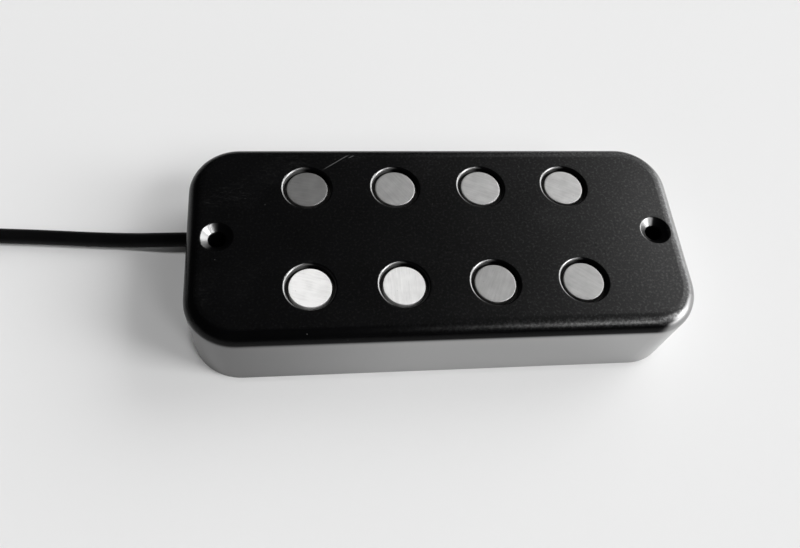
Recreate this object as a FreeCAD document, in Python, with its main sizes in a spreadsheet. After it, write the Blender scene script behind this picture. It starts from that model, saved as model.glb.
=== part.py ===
import FreeCAD, Part
import Sketcher
import math
import os
from FreeCAD import Placement, Rotation, Vector

os.makedirs("parts", exist_ok=True)
doc = FreeCAD.newDocument("pickup")

# Driving sizes in millimetres, each with what it measures.
# The frame: origin under the middle of the body, X along its length, Z up.
SIZES = [
    # Moulded cover
    ("body_length", 107.4, "length of the cover"),
    ("body_width", 46.8, "width of the cover"),
    ("body_height", 19.2, "height of the cover"),
    ("corner_radius", 10.8, "upright corners of the cover"),
    ("top_edge_radius", 3.5, "rounded edge round the top"),
    ("wall", 2.2, "side walls"),
    ("top_thickness", 2.1, "top plate"),
    ("rim_radius", 0.5, "broken edge of the holes in the top"),
    # Pole magnets
    ("magnet_end_room", 25.125, "end of the cover to the first magnet, 19.05 to the next"),
    ("pole_share", 0.4833, "magnet's radius as a share of its coil form's"),
    ("pole_chamfer", 0.3, "ground edge of a magnet"),
    ("pole_recess", 0.6, "magnet face below the top"),
    ("pole_hole_share", 0.5667, "hole round each magnet, a share of the coil form's radius"),
    ("pole_clearance", 0.05, "magnet in the coil form"),
    # Mounting screws
    ("screw_end_room", 6.45, "end of the cover to the mounting hole"),
    ("screw_hole_radius", 1.9, "mounting hole"),
    ("countersink_radius", 3.4, "mouth of the mounting hole"),
    ("countersink_depth", 1.2, "conical mouth of the mounting hole"),
    ("boss_wall", 1.7, "boss outside the mouth"),
    # Base board and its screws
    ("board_recess", 0.4, "board above the lower rim"),
    ("board_thickness", 1.2, "circuit board"),
    ("board_clearance", 0.2, "board inside the cover"),
    ("post_radius", 2.6, "corner post for a base screw"),
    ("post_overlap", 0.8, "post grown into the corner"),
    ("base_screw_radius", 0.9, "screw shank"),
    ("base_screw_length", 6.4, "screw from head to tip"),
    ("base_head_radius", 1.7, "countersunk head"),
    ("base_head_height", 0.85, "countersunk head"),
    ("base_slot_width", 0.45, "driver slot"),
    ("base_slot_depth", 0.4, "driver slot"),
    ("screw_clearance", 0.05, "screw in its hole"),
    # Coil forms and windings
    ("flatwork_thickness", 2.0, "plates of the coil form"),
    ("middle_gap", 5.8, "between the two coil forms"),
    ("form_gap", 0.3, "coil form off the cover"),
    ("winding_bore_gap", 0.25, "winding off the magnets"),
    ("winding_inset", 0.7, "winding inside the plates' edge"),
    ("tape_gap", 0.05, "tape off the winding"),
    ("tape_thickness", 0.3, "cloth tape"),
    # Terminals on the board
    ("terminal_end_room", 12.9, "end of the cover to the row of terminals"),
    ("terminal_pitch_share", 0.4444, "terminal to terminal, a share of the coil form's radius"),
    ("eyelet_radius", 0.8, "barrel of an eyelet"),
    ("eyelet_bore", 0.5, "bore of an eyelet"),
    ("eyelet_rim_radius", 1.3, "rolled rims"),
    ("eyelet_rim", 0.2, "rolled rims"),
    ("solder_foot_radius", 1.2, "solder on its eyelet"),
    ("solder_top_radius", 1.0, "solder at the wire"),
    ("solder_height", 1.0, "solder over the eyelet"),
    # Lead inside the cover
    ("lead_radius", 1.65, "outer jacket"),
    ("lead_off_boss", 3.8, "lead's axis from the mounting boss"),
    ("lead_height", 3.4, "lead above the lower rim"),
    ("lead_hole_clearance", 0.2, "lead in the wall"),
    ("lead_inside", 7.3, "jacket from the outer wall inwards"),
    ("tie_width", 2.4, "cable tie inside"),
    ("tie_thickness", 0.9, "cable tie inside"),
    ("tie_gap", 0.05, "cable tie round the jacket"),
    ("tie_head", 2.8, "head of the cable tie"),
    ("tie_off_wall", 0.2, "cable tie behind the wall"),
    ("window_gap", 0.4, "board round the cable tie"),
    ("conductor_radius", 0.5, "insulated conductor"),
    ("bundle_offset", 0.62, "conductors off the lead's axis"),
    ("shield_radius", 0.3, "bare twisted shield"),
    ("coil_wire_radius", 0.15, "end of a winding"),
    ("conductor_shift", 0.35, "conductor off the terminal's axis"),
    ("coil_wire_shift", 0.5, "winding end off the terminal's axis"),
    ("low_level", 5.6, "lower layer of conductors"),
    ("high_level", 7.6, "upper layer of conductors"),
    ("coil_wire_level", 4.0, "winding ends"),
    ("fan_run", 2.0, "straight conductor at the jacket's end"),
    ("approach_run", 1.6, "conductor beside its terminal"),
    ("coil_wire_start", 0.12, "winding end off the tape"),
    # Free lead, put away as a coil
    ("coil_inner_radius", 14.675, "smallest turn of the coil"),
    ("coil_turn_pitch", 3.8, "turn to turn"),
    ("coil_layer_pitch", 3.75, "layer to layer"),
    ("strap_thickness", 0.6, "tie round the coil"),
    ("strap_width", 4.0, "tie round the coil"),
    ("strap_gap", 0.1, "tie under and over the turns"),
    ("strap_side_gap", 0.3, "tie beside the turns"),
    ("strap_round", 1.2, "rounded corners of the tie"),
    ("strap_head", 3.2, "head of the tie"),
    ("strap_head_height", 1.6, "head of the tie"),
    ("tail_straight", 4.0, "stripped conductors leaving the jacket"),
    ("tail_fall", 9.0, "conductors on their way down to the table"),
    ("tail_rest", 8.0, "conductors lying on the table"),
    ("tail_spread", 1.7, "from one conductor to the next on the table"),
]

# Counts and shares
POLE_COUNT = 4
QUARTERS_PER_LAYER = 7
RUN_SHARE = 0.45
CLIMB_SHARE = 1.5
FOOT_SHARE = 0.5
# Two places closer than this are one place.
TOUCH = 1e-4

# Places that the lead's free part passes, from the wall to the coil.
LEAD_ROUTE = [
    (-53.7, 8.9, 3.4),
    (-59.7, 8.9, 3.4),
    (-67.7, 9.9, 1.65),
    (-77.0, 10.38, 1.65),
    (-87.6, 11.18, 1.65),
    (-98.3, 11.76, 1.65),
    (-108.6, 12.6, 1.773),
    (-118.2, 12.6, 1.95),
]

sheet = doc.addObject("Spreadsheet::Sheet", "sizes")
for row, (alias, number, meaning) in enumerate(SIZES, start=1):
    sheet.set("A%d" % row, meaning)
    sheet.set("B%d" % row, str(number))
    sheet.setAlias("B%d" % row, alias)
doc.recompute()


def size(alias):
    return float(sheet.get(alias))


def worked_out(formula):
    return float(sheet.evalExpression(formula))


def place(thing, along="0", across="0", up="0"):
    thing.setExpression("Placement.Base.x", along)
    thing.setExpression("Placement.Base.y", across)
    thing.setExpression("Placement.Base.z", up)
    return thing


# Formulas that more than one piece follows
BOARD_TOP = "(sizes.board_recess + sizes.board_thickness)"
UNDERSIDE = "(sizes.body_height - sizes.top_thickness)"
FORM_TOP = "(%s - sizes.form_gap)" % UNDERSIDE
POLE_LENGTH = "(sizes.body_height - sizes.pole_recess - %s)" % BOARD_TOP
SPREAD = "(sizes.body_length - 2 * sizes.magnet_end_room)"
SCREW_X = "(sizes.body_length / 2 - sizes.screw_end_room)"
TERMINAL_X = "(sizes.body_length / 2 - sizes.terminal_end_room)"
FORM_RADIUS = ("((sizes.body_width - sizes.middle_gap) / 4"
               " - (sizes.wall + sizes.form_gap) / 2)")
ROW_Y = "(sizes.middle_gap / 2 + %s)" % FORM_RADIUS
POLE_RADIUS = "(sizes.pole_share * %s)" % FORM_RADIUS
POLE_HOLE_RADIUS = "(sizes.pole_hole_share * %s)" % FORM_RADIUS
WINDING_RADIUS = "(%s - sizes.winding_inset)" % FORM_RADIUS
BOSS_RADIUS = "(sizes.countersink_radius + sizes.boss_wall)"
LEAD_Y = "(%s + sizes.lead_off_boss)" % BOSS_RADIUS
TIE_BORE = "(sizes.lead_radius + sizes.tie_gap)"
TIE_RADIUS = "(%s + sizes.tie_thickness)" % TIE_BORE
TIE_START = "(-sizes.body_length / 2 + sizes.wall + sizes.tie_off_wall)"
POST_REACH = ("((sizes.corner_radius - sizes.wall - sizes.post_radius"
              " + sizes.post_overlap) / sqrt(2))")
SCREW_WAY = "(sizes.base_screw_radius + sizes.screw_clearance)"
POST_X = "(sizes.body_length / 2 - sizes.corner_radius + %s)" % POST_REACH
POST_Y = "(sizes.body_width / 2 - sizes.corner_radius + %s)" % POST_REACH


def origin_plane(body, role):
    for feature in body.Origin.OriginFeatures:
        if feature.Role == role:
            return feature
    raise ValueError(role)


def new_body(name):
    body = doc.addObject("PartDesign::Body", name)
    body.Label = name
    return body


def new_sketch(body, name, up="0", role="XY_Plane"):
    sketch = body.newObject("Sketcher::SketchObject", name)
    sketch.AttachmentSupport = [(origin_plane(body, role), "")]
    sketch.MapMode = "FlatFace"
    sketch.setExpression("AttachmentOffset.Base.z", up)
    return sketch


def rounded_rectangle(sketch, length, width, radius):
    across, tall = worked_out(length) / 2, worked_out(width) / 2
    turn = worked_out(radius)
    inner_x, inner_y = across - turn, tall - turn
    lines = [
        ((-inner_x, -tall), (inner_x, -tall)),
        ((across, -inner_y), (across, inner_y)),
        ((inner_x, tall), (-inner_x, tall)),
        ((-across, inner_y), (-across, -inner_y)),
    ]
    for start, end in lines:
        sketch.addGeometry(Part.LineSegment(Vector(*start, 0), Vector(*end, 0)), False)
    centres = [(inner_x, -inner_y), (inner_x, inner_y), (-inner_x, inner_y), (-inner_x, -inner_y)]
    for index, centre in enumerate(centres):
        circle = Part.Circle(Vector(*centre, 0), Vector(0, 0, 1), turn)
        begin = (index - 1) * math.pi / 2
        sketch.addGeometry(Part.ArcOfCircle(circle, begin, begin + math.pi / 2), False)
    rules = []
    for index in range(4):
        arc = 4 + index
        rules.append(Sketcher.Constraint("Tangent", index, 2, arc, 1))
        rules.append(Sketcher.Constraint("Tangent", arc, 2, (index + 1) % 4, 1))
    rules += [
        Sketcher.Constraint("Horizontal", 0),
        Sketcher.Constraint("Vertical", 1),
        Sketcher.Constraint("Horizontal", 2),
        Sketcher.Constraint("Vertical", 3),
        Sketcher.Constraint("Equal", 4, 5),
        Sketcher.Constraint("Equal", 5, 6),
        Sketcher.Constraint("Equal", 6, 7),
        Sketcher.Constraint("Symmetric", 4, 3, 6, 3, -1, 1),
    ]
    sketch.addConstraint(rules)
    named_rule(sketch, "radius", radius, Sketcher.Constraint("Radius", 4, turn))
    named_rule(sketch, "length", length,
               Sketcher.Constraint("DistanceX", 3, 1, 1, 1, 2 * across))
    named_rule(sketch, "width", width,
               Sketcher.Constraint("DistanceY", 0, 1, 2, 2, 2 * tall))


def named_rule(sketch, name, formula, rule):
    number = sketch.addConstraint(rule)
    sketch.renameConstraint(number, name)
    sketch.setExpression("Constraints." + name, formula)


def slot_outline(sketch, label, spread, radius, start=0):
    # A straight slot with round ends, level with the sketch's X axis.
    half, turn = worked_out(spread) / 2, worked_out(radius)
    sketch.addGeometry(Part.LineSegment(Vector(-half, -turn, 0), Vector(half, -turn, 0)), False)
    right = Part.Circle(Vector(half, 0, 0), Vector(0, 0, 1), turn)
    sketch.addGeometry(Part.ArcOfCircle(right, -math.pi / 2, math.pi / 2), False)
    sketch.addGeometry(Part.LineSegment(Vector(half, turn, 0), Vector(-half, turn, 0)), False)
    left = Part.Circle(Vector(-half, 0, 0), Vector(0, 0, 1), turn)
    sketch.addGeometry(Part.ArcOfCircle(left, math.pi / 2, 3 * math.pi / 2), False)
    sketch.addConstraint([
        Sketcher.Constraint("Tangent", start, 2, start + 1, 1),
        Sketcher.Constraint("Tangent", start + 1, 2, start + 2, 1),
        Sketcher.Constraint("Tangent", start + 2, 2, start + 3, 1),
        Sketcher.Constraint("Tangent", start + 3, 2, start, 1),
        Sketcher.Constraint("Horizontal", start),
        Sketcher.Constraint("Equal", start + 1, start + 3),
        Sketcher.Constraint("Symmetric", start + 1, 3, start + 3, 3, -1, 1),
    ])
    named_rule(sketch, label + "_radius", radius,
               Sketcher.Constraint("Radius", start + 1, turn))
    named_rule(sketch, label + "_spread", spread,
               Sketcher.Constraint("DistanceX", start + 3, 3, start + 1, 3, 2 * half))


def circle_at(sketch, label, radius, along=None, across=None):
    # along and across are a side, -1 or 1, and the distance to that side.
    ways = (("x", "DistanceX", -2, along), ("y", "DistanceY", -1, across))
    spot = [way[-1][0] * worked_out(way[-1][1]) if way[-1] else 0 for way in ways]
    turn = worked_out(radius)
    number = sketch.addGeometry(Part.Circle(Vector(*spot, 0), Vector(0, 0, 1), turn), False)
    named_rule(sketch, label + "_radius", radius, Sketcher.Constraint("Radius", number, turn))
    for where, (axis, kind, middle_line, way) in zip(spot, ways):
        if way is None:
            sketch.addConstraint(Sketcher.Constraint("PointOnObject", number, 3, middle_line))
            continue
        ends = (-1, 1, number, 3) if way[0] > 0 else (number, 3, -1, 1)
        named_rule(sketch, label + "_" + axis, way[1],
                   Sketcher.Constraint(kind, *ends, abs(where)))


def pad(body, name, sketch, length):
    feature = body.newObject("PartDesign::Pad", name)
    feature.Profile = sketch
    feature.setExpression("Length", length)
    doc.recompute()
    return feature


def cut_from(body, name, sketch, length=None, upwards=True):
    # Cuts the sketch's outline out of the body, right through when no length is given.
    before = body.Shape.Volume
    feature = body.newObject("PartDesign::Pocket", name)
    feature.Profile = sketch
    feature.Reversed = upwards
    if length is None:
        feature.Type = "ThroughAll"
    else:
        feature.setExpression("Length", length)
    doc.recompute()
    if not feature.Shape.Volume < before:
        raise ValueError(name + " removes nothing")
    return feature


def row_pattern(body, name, feature, sketch):
    pattern = body.newObject("PartDesign::LinearPattern", name)
    pattern.Originals = [feature]
    pattern.Direction = (sketch, ["H_Axis"])
    pattern.Occurrences = POLE_COUNT
    pattern.setExpression("Length", SPREAD)
    body.Tip = pattern
    doc.recompute()


def round_edges(body, name, base, chosen, radius, kind="PartDesign::Fillet"):
    edges = ["Edge%d" % number for number, edge in enumerate(base.Shape.Edges, start=1)
             if chosen(edge)]
    feature = body.newObject(kind, name)
    feature.Base = (base, edges)
    feature.setExpression("Radius" if kind == "PartDesign::Fillet" else "Size", radius)
    body.Tip = feature
    doc.recompute()


def lies_at(edge, height):
    box = edge.BoundBox
    return abs(box.ZMin - height) < TOUCH and abs(box.ZMax - height) < TOUCH


CORNERS = (("rear_left", -1, 1), ("rear_right", 1, 1), ("front_left", -1, -1),
           ("front_right", 1, -1))
ROWS = (("front", -1), ("rear", 1))
ENDS = (("left", -1), ("right", 1))
PARTS = []


def keep(thing, name):
    thing.Label = name
    PARTS.append(thing)


# Moulded cover: a shell with eight pole holes, two mounting bosses and four posts
def make_cover():
    body = new_body("cover")
    top = size("body_height")
    outline = new_sketch(body, "cover_outline")
    rounded_rectangle(outline, "sizes.body_length", "sizes.body_width", "sizes.corner_radius")
    block = pad(body, "cover_block", outline, "sizes.body_height")
    round_edges(body, "top_edge", block, lambda edge: lies_at(edge, top),
                "sizes.top_edge_radius")

    hollow = new_sketch(body, "cavity_outline")
    rounded_rectangle(hollow, "sizes.body_length - 2 * sizes.wall",
                      "sizes.body_width - 2 * sizes.wall", "sizes.corner_radius - sizes.wall")
    cut_from(body, "cavity", hollow, UNDERSIDE)

    bosses = new_sketch(body, "boss_outlines")
    for side, sign in ENDS:
        circle_at(bosses, side, BOSS_RADIUS, (sign, SCREW_X))
    pad(body, "mounting_bosses", bosses, UNDERSIDE)

    posts = new_sketch(body, "post_outlines", BOARD_TOP)
    for label, sign_x, sign_y in CORNERS:
        circle_at(posts, label, "sizes.post_radius", (sign_x, POST_X), (sign_y, POST_Y))
    pad(body, "corner_posts", posts, "%s - %s" % (UNDERSIDE, BOARD_TOP))

    holes = new_sketch(body, "pole_hole_outlines")
    for label, sign in ROWS:
        circle_at(holes, label, POLE_HOLE_RADIUS, (-1, SPREAD + " / 2"), (sign, ROW_Y))
    first_pair = cut_from(body, "first_pole_holes", holes)
    row_pattern(body, "pole_holes", first_pair, holes)

    shanks = new_sketch(body, "mounting_hole_outlines")
    for side, sign in ENDS:
        circle_at(shanks, side, "sizes.screw_hole_radius", (sign, SCREW_X))
    cut_from(body, "mounting_holes", shanks)
    for side, sign in ENDS:
        mouth = body.newObject("PartDesign::SubtractiveCone", side + "_countersink")
        mouth.setExpression("Radius1", "sizes.screw_hole_radius")
        mouth.setExpression("Radius2", "sizes.countersink_radius")
        mouth.setExpression("Height", "sizes.countersink_depth")
        place(mouth, "%d * %s" % (sign, SCREW_X), up="sizes.body_height - sizes.countersink_depth")
    doc.recompute()

    pilots = new_sketch(body, "pilot_outlines", BOARD_TOP)
    for label, sign_x, sign_y in CORNERS:
        circle_at(pilots, label, SCREW_WAY, (sign_x, POST_X), (sign_y, POST_Y))
    cut_from(body, "pilot_holes", pilots, "sizes.base_screw_length")

    lead_way = new_sketch(body, "lead_hole_outline", "-sizes.body_length / 2", "YZ_Plane")
    circle_at(lead_way, "lead", "sizes.lead_radius + sizes.lead_hole_clearance", (1, LEAD_Y),
              (1, "sizes.lead_height"))
    last = cut_from(body, "lead_hole", lead_way, "2 * sizes.wall")

    rims = (worked_out(POLE_HOLE_RADIUS), size("countersink_radius"))

    def is_rim(edge):
        return lies_at(edge, top) and isinstance(edge.Curve, Part.Circle) and any(
            abs(edge.Curve.Radius - radius) < TOUCH for radius in rims)

    round_edges(body, "hole_rims", last, is_rim, "sizes.rim_radius")
    place(body)
    keep(body, "cover")


def cylinder(name, radius, height, along="0", across="0", up="0"):
    thing = doc.addObject("Part::Cylinder", name)
    thing.setExpression("Radius", radius)
    thing.setExpression("Height", height)
    return place(thing, along, across, up)


def cone(name, lower, upper, height, along="0", across="0", up="0"):
    thing = doc.addObject("Part::Cone", name)
    thing.setExpression("Radius1", lower)
    thing.setExpression("Radius2", upper)
    thing.setExpression("Height", height)
    return place(thing, along, across, up)


def box(name, length, width, height, along="0", across="0", up="0"):
    thing = doc.addObject("Part::Box", name)
    thing.setExpression("Length", length)
    thing.setExpression("Width", width)
    thing.setExpression("Height", height)
    return place(thing, along, across, up)


def joined(name, things):
    result = doc.addObject("Part::MultiFuse", name)
    result.Shapes = things
    return result


def minus(name, base, tool):
    result = doc.addObject("Part::Cut", name)
    result.Base = base
    result.Tool = tool
    return result


def group(name, things):
    result = doc.addObject("Part::Compound", name)
    result.Links = things
    keep(result, name)


def terminal_y(step):
    # Terminals stand in line with the lead and at even steps outwards from there.
    return "(%s + %d * sizes.terminal_pitch_share * %s)" % (LEAD_Y, step, FORM_RADIUS)


TERMINALS = (
    ("rear_start", terminal_y(2)),
    ("rear_finish", terminal_y(1)),
    ("shield", terminal_y(0)),
    ("front_start", "-" + terminal_y(0)),
    ("front_finish", "-" + terminal_y(1)),
)


# Circuit board that closes the underside
def make_board():
    body = new_body("board_blank")
    outline = new_sketch(body, "board_outline", "sizes.board_recess")
    inset = "(sizes.wall + sizes.board_clearance)"
    rounded_rectangle(outline, "sizes.body_length - 2 * " + inset,
                      "sizes.body_width - 2 * " + inset, "sizes.corner_radius - " + inset)
    pad(body, "board_plate", outline, "sizes.board_thickness")

    reach = "(%s + sizes.board_clearance)" % BOSS_RADIUS
    through = "sizes.body_height"
    tools = []
    for side, sign in ENDS:
        tools.append(cylinder("notch_round_" + side, reach, through, "%d * %s" % (sign, SCREW_X)))
        start = SCREW_X if sign > 0 else "-sizes.body_length / 2"
        tools.append(box("notch_mouth_" + side, "sizes.screw_end_room", "2 * " + reach, through,
                         start, "-" + reach))
    for label, sign_x, sign_y in CORNERS:
        where = ("%d * %s" % (sign_x, POST_X), "%d * %s" % (sign_y, POST_Y))
        tools.append(cylinder("screw_way_" + label, SCREW_WAY, through, *where))
        tools.append(cone("screw_sink_" + label,
                          "sizes.base_head_radius + sizes.screw_clearance", SCREW_WAY,
                          "sizes.base_head_height", *where, "sizes.board_recess"))
    for label, across in TERMINALS:
        tools.append(cylinder("eyelet_way_" + label,
                              "sizes.eyelet_radius + sizes.screw_clearance", through,
                              "-" + TERMINAL_X, across))
    ring = "(%s + sizes.window_gap)" % TIE_RADIUS
    tools.append(box("tie_window", "sizes.tie_width + 2 * sizes.window_gap", "2 * " + ring,
                     through, "%s - sizes.window_gap" % TIE_START, "%s - %s" % (LEAD_Y, ring)))
    keep(minus("base_board", body, joined("board_cuts", tools)), "base_board")


def make_base_screws():
    screws = []
    for label, sign_x, sign_y in CORNERS:
        where = ("%d * %s" % (sign_x, POST_X), "%d * %s" % (sign_y, POST_Y))
        head = cone("head_" + label, "sizes.base_head_radius", "sizes.base_screw_radius",
                    "sizes.base_head_height", *where, "sizes.board_recess")
        shank = cylinder("shank_" + label, "sizes.base_screw_radius",
                         "sizes.base_screw_length", *where, "sizes.board_recess")
        slot = box("slot_" + label, "2 * sizes.base_head_radius", "sizes.base_slot_width",
                   "sizes.base_slot_depth",
                   where[0] + " - sizes.base_head_radius",
                   where[1] + " - sizes.base_slot_width / 2", "sizes.board_recess")
        screws.append(minus("screw_" + label, joined("blank_" + label, [head, shank]), slot))
    group("base_screws", screws)


# One magnet, a ground rod with broken edges
def make_pole(name, number, sign):
    body = new_body(name)
    face = new_sketch(body, name + "_outline")
    circle_at(face, "rod", POLE_RADIUS)
    rod = pad(body, name + "_rod", face, POLE_LENGTH)
    round_edges(body, name + "_edges", rod,
                lambda edge: isinstance(edge.Curve, Part.Circle),
                "sizes.pole_chamfer", "PartDesign::Chamfer")
    share = number / (POLE_COUNT - 1) - 1 / 2
    place(body, "%s * %r" % (SPREAD, share), "%d * %s" % (sign, ROW_Y), BOARD_TOP)
    keep(body, name)


def make_plate(name, sign, up):
    # A fibre plate of the coil form, with a close hole for each magnet.
    body = new_body(name)
    outline = new_sketch(body, name + "_outline")
    slot_outline(outline, "plate", SPREAD, FORM_RADIUS)
    pad(body, name + "_plate", outline, "sizes.flatwork_thickness")
    hole = new_sketch(body, name + "_hole")
    circle_at(hole, "hole", POLE_RADIUS + " + sizes.pole_clearance", (-1, SPREAD + " / 2"))
    row_pattern(body, name + "_holes", cut_from(body, name + "_first_hole", hole), hole)
    place(body, "0", "%d * %s" % (sign, ROW_Y), up)
    keep(body, name)


def make_ring(name, sign, inner, outer):
    # A long ring round a row of magnets, between the two plates.
    body = new_body(name)
    outline = new_sketch(body, name + "_outline")
    slot_outline(outline, "outer", SPREAD, outer)
    slot_outline(outline, "inner", SPREAD, inner, start=4)
    pad(body, name + "_ring", outline,
        "%s - %s - 2 * sizes.flatwork_thickness" % (FORM_TOP, BOARD_TOP))
    place(body, "0", "%d * %s" % (sign, ROW_Y),
          "%s + sizes.flatwork_thickness" % BOARD_TOP)
    keep(body, name)


def make_coils():
    taped = "%s + sizes.tape_gap" % WINDING_RADIUS
    for row, sign in ROWS:
        for number in range(POLE_COUNT):
            make_pole("pole_%s_%d" % (row, number + 1), number, sign)
        make_plate("lower_plate_" + row, sign, BOARD_TOP)
        make_plate("upper_plate_" + row, sign, "%s - sizes.flatwork_thickness" % FORM_TOP)
        make_ring("winding_" + row, sign, POLE_RADIUS + " + sizes.winding_bore_gap",
                  WINDING_RADIUS)
        make_ring("coil_tape_" + row, sign, taped, taped + " + sizes.tape_thickness")


def make_terminals():
    eyelets, joints = [], []
    rim_bottom = "(sizes.board_recess - sizes.eyelet_rim)"
    for label, across in TERMINALS:
        here = ("-" + TERMINAL_X, across)
        barrel = cylinder("barrel_" + label, "sizes.eyelet_radius",
                          "sizes.board_thickness + 2 * sizes.eyelet_rim", *here, rim_bottom)
        lower = cylinder("rim_below_" + label, "sizes.eyelet_rim_radius", "sizes.eyelet_rim",
                         *here, rim_bottom)
        upper = cylinder("rim_above_" + label, "sizes.eyelet_rim_radius", "sizes.eyelet_rim",
                         *here, BOARD_TOP)
        bore = cylinder("bore_" + label, "sizes.eyelet_bore", "sizes.body_height", *here)
        blank = joined("eyelet_blank_" + label, [barrel, lower, upper])
        eyelets.append(minus("eyelet_" + label, blank, bore))
        joints.append(cone("solder_" + label, "sizes.solder_foot_radius",
                           "sizes.solder_top_radius", "sizes.solder_height", *here,
                           "%s + sizes.eyelet_rim" % BOARD_TOP))
    group("terminal_eyelets", eyelets)
    group("solder_joints", joints)


def tangent_path(points, label):
    # Straight runs joined by arcs, each arc as large as its two runs allow.
    spots = [Vector(*point) for point in points]
    edges, radii = [], []
    last = spots[0]
    for before, corner, after in zip(spots, spots[1:], spots[2:]):
        arriving = (corner - before).normalize()
        leaving = (after - corner).normalize()
        turn = arriving.getAngle(leaving)
        reach = RUN_SHARE * min((corner - before).Length, (after - corner).Length)
        radius = reach / math.tan(turn / 2)
        begin = corner - arriving * reach
        end = corner + leaving * reach
        inwards = (leaving - arriving).normalize()
        middle = corner + inwards * (radius / math.cos(turn / 2) - radius)
        edges.append(Part.LineSegment(last, begin).toShape())
        edges.append(Part.Arc(begin, middle, end).toShape())
        radii.append(radius)
        last = end
    edges.append(Part.LineSegment(last, spots[-1]).toShape())
    print("%s: bends of %s mm" % (label, ", ".join("%.1f" % radius for radius in radii)))
    return Part.Wire(edges)


def tube_along(path, radius, label):
    first = path.Edges[0]
    start = first.valueAt(first.FirstParameter)
    heading = first.tangentAt(first.FirstParameter)
    ring = Part.Wire([Part.makeCircle(radius, start, heading)])
    solid = path.makePipeShell([ring], True, False)
    ideal = math.pi * radius ** 2 * path.Length
    print("%s: %.1f mm long, volume %.4f of section times length"
          % (label, path.Length, solid.Volume / ideal))
    return solid


def keep_shape(name, shape, base=Vector()):
    thing = doc.addObject("Part::Feature", name)
    thing.Shape = shape
    thing.Placement = Placement(base, Rotation())
    keep(thing, name)


def tube(name, points, radius):
    # The piece's own frame starts where its path starts.
    base = Vector(*points[0])
    local = [Vector(*point) - base for point in points]
    solid = tube_along(tangent_path(local, name), radius, name)
    keep_shape(name, solid, base)


def bundle_places():
    # Where the four conductors lie in the jacket, across and up from its axis.
    step = size("bundle_offset")
    return {
        "red": (step, step),
        "white": (step, -step),
        "green": (-step, -step),
        "black": (-step, step),
    }


# Lead through the wall, with its tie just behind it
def make_inner_lead():
    wall_x = "-sizes.body_length / 2"
    jacket = cylinder("lead_inner", "sizes.lead_radius", "sizes.lead_inside", wall_x,
                      LEAD_Y, "sizes.lead_height")
    band = cylinder("tie_band", TIE_RADIUS, "sizes.tie_width", TIE_START, LEAD_Y,
                    "sizes.lead_height")
    bore = cylinder("tie_bore", TIE_BORE, "sizes.body_width", wall_x, LEAD_Y,
                    "sizes.lead_height")
    for turned in (jacket, band, bore):
        turned.Placement.Rotation = Rotation(Vector(0, 1, 0), 90)
    head = box("tie_head_block", "sizes.tie_width", "sizes.tie_head", "sizes.tie_head",
               TIE_START, "%s - sizes.tie_head / 2" % LEAD_Y,
               "sizes.lead_height + %s" % TIE_BORE)
    keep(jacket, "lead_inner")
    keep(minus("cable_tie", joined("tie_blank", [band, head]), bore), "cable_tie")


# Conductors and winding ends, each down onto the solder of its terminal
def make_wires():
    jacket_end = -size("body_length") / 2 + size("lead_inside")
    side, height = worked_out(LEAD_Y), size("lead_height")
    terminal_x = -worked_out(TERMINAL_X)
    landing = worked_out(BOARD_TOP) + size("eyelet_rim") + size("solder_height")
    fan, low, high = size("fan_run"), size("low_level"), size("high_level")
    places = {label: worked_out(across) for label, across in TERMINALS}
    lane = terminal_x - size("conductor_shift")
    goals = {
        "red": (places["rear_start"], high),
        "white": (places["rear_finish"], low),
        "green": (places["front_start"], low),
        "black": (places["front_finish"], high),
    }
    for colour, (across, up) in bundle_places().items():
        goal, level = goals[colour]
        begin = Vector(jacket_end, side + across, height + up)
        aside = math.copysign(size("approach_run"), goal - begin.y)
        tube("conductor_" + colour,
             [begin, begin + Vector(fan, 0, 0), Vector(lane, begin.y + aside, level),
              Vector(lane, goal, level), Vector(lane, goal, landing)],
             size("conductor_radius"))
    shield_y = places["shield"]
    tube("shield_wire",
         [(jacket_end, side, height), (jacket_end + fan, side, height),
          (terminal_x - fan, shield_y, low), (terminal_x, shield_y, low),
          (terminal_x, shield_y, landing)], size("shield_radius"))

    lane = terminal_x + size("coil_wire_shift")
    taped = worked_out(WINDING_RADIUS) + size("tape_gap") + size("tape_thickness")
    for row, sign in ROWS:
        label = "coil_wires_" + row
        wires = []
        for goal in (places[row + "_start"], places[row + "_finish"]):
            aside = goal - sign * worked_out(ROW_Y)
            begin = (-worked_out(SPREAD) / 2 - math.sqrt(taped ** 2 - aside ** 2)
                     - size("coil_wire_start"))
            level = size("coil_wire_level")
            path = tangent_path([(begin, goal, level), (lane, goal, level),
                                 (lane, goal, landing)], label)
            wires.append(tube_along(path, size("coil_wire_radius"), label))
        keep_shape(label, Part.makeCompound(wires))


def arc_from(start, heading, finish):
    # The arc from start to finish that leaves start along heading.
    chord = finish - start
    inwards = (chord - heading * chord.dot(heading)).normalize()
    radius = chord.dot(chord) / (2 * chord.dot(inwards))
    centre = start + inwards * radius
    outwards = (start + chord / 2 - centre).normalize()
    return Part.Arc(start, centre + outwards * radius, finish).toShape(), radius


def biarc(start, heading, finish, leaving):
    # Two arcs that leave start along heading and reach finish along leaving.
    gap = finish - start
    square = gap.dot(gap)
    along = gap.dot(heading + leaving)
    closing = 2 * (heading.dot(leaving) - 1)
    reach = square / (along + math.sqrt(along ** 2 - closing * square))
    first, second = start + heading * reach, finish - leaving * reach
    middle = (first + second) / 2
    return [arc_from(start, heading, middle),
            arc_from(middle, (second - first).normalize(), finish)]


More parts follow.
